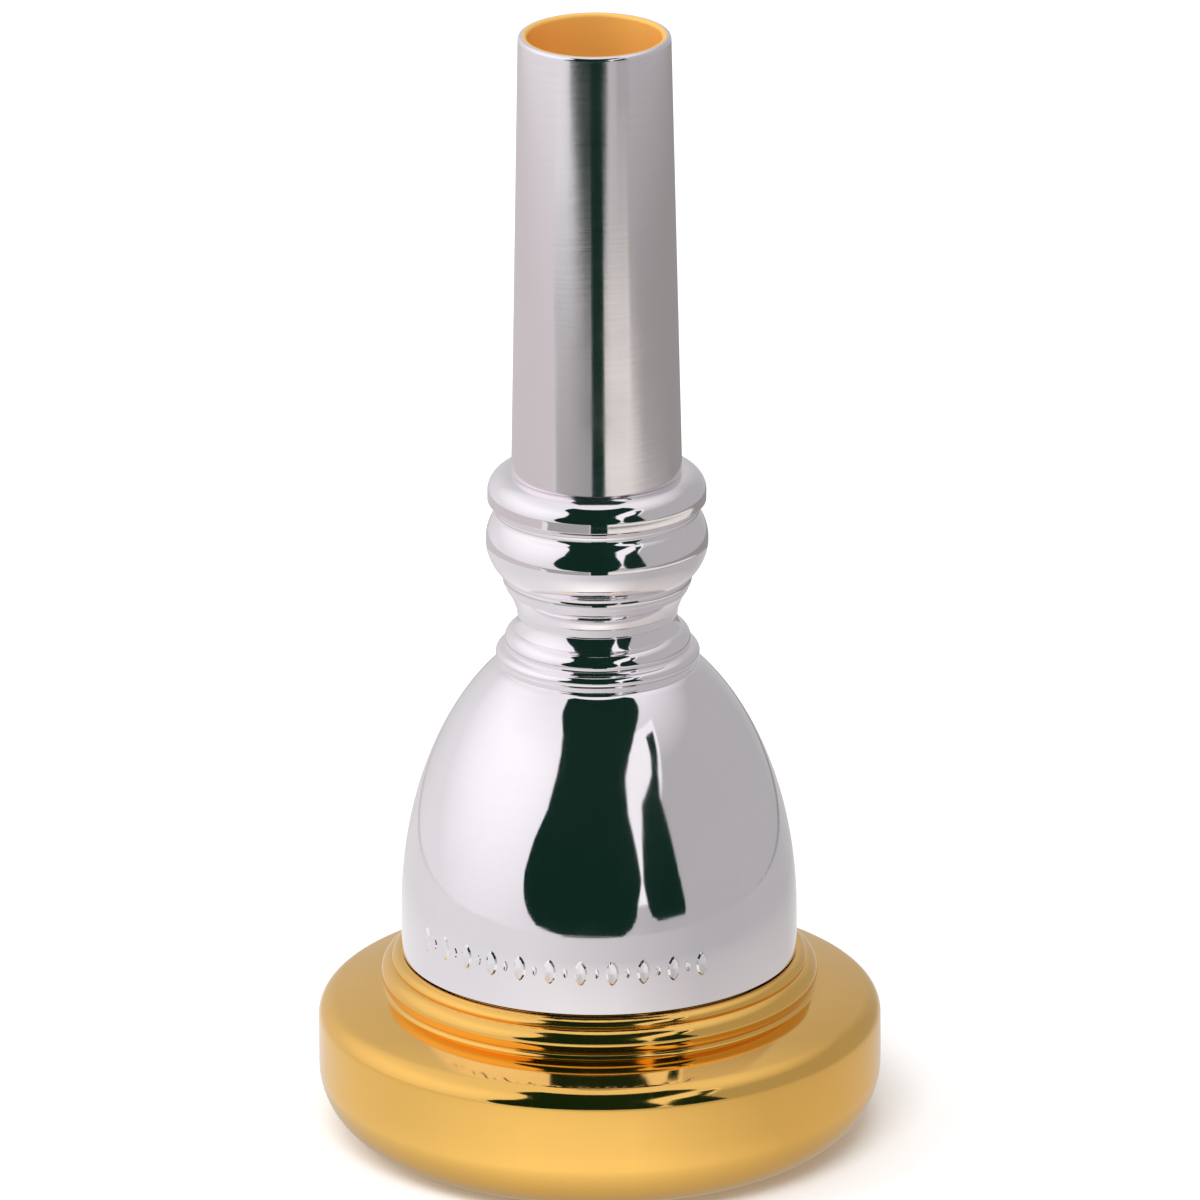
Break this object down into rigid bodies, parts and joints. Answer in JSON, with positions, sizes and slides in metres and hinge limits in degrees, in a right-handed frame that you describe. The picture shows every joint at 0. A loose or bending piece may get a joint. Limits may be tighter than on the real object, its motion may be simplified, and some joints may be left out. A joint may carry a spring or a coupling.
{
  "type": "low brass mouthpiece",
  "caption": "Cup mouthpiece for a large low-brass instrument, with a screw rim, a turned cup and neck, and a tapered screw shank.",
  "frame": {"origin": "on the axis, level with the lowest circle of the rim, on which it stands", "axes": "+Z along the axis from the rim to the shank's small end; X and Y are alike, because the outside is turned about Z"},
  "size_m": [0.049, 0.049, 0.0997],
  "materials": {
    "gold_plate": "polished gold plate on brass",
    "silver_plate": "polished silver plate on brass",
    "seal_rubber": "matte black nitrile rubber"
  },
  "bodies": {
    "rim": {"rim": "gold_plate"},
    "rim_seal": {"rim_o_ring": "seal_rubber"},
    "cup": {"cup": "silver_plate"},
    "shank_seal": {"shank_o_ring": "seal_rubber"},
    "shank": {"shank": "silver_plate"}
  },
  "joints": [
    {"name": "cup_lift", "type": "slide", "parent": "rim", "child": "rim_seal", "axis": [0, 0, 1], "range_m": [0, 0.01001]},
    {"name": "cup_screw", "type": "hinge", "parent": "rim_seal", "child": "cup", "pos_m": [0, 0, 0.0075], "axis": [0, 0, 1], "range_deg": [0, 3600]},
    {"name": "shank_lift", "type": "slide", "parent": "cup", "child": "shank_seal", "axis": [0, 0, 1], "range_m": [0, 0.00901]},
    {"name": "shank_screw", "type": "hinge", "parent": "shank_seal", "child": "shank", "pos_m": [0, 0, 0.06025], "axis": [0, 0, 1], "range_deg": [0, 4320]}
  ],
  "couplings": [
    {"joint": "cup_lift", "follows": "cup_screw", "m_per_rad": 0.00015915},
    {"joint": "shank_lift", "follows": "shank_screw", "m_per_rad": 0.00011937}
  ]
}
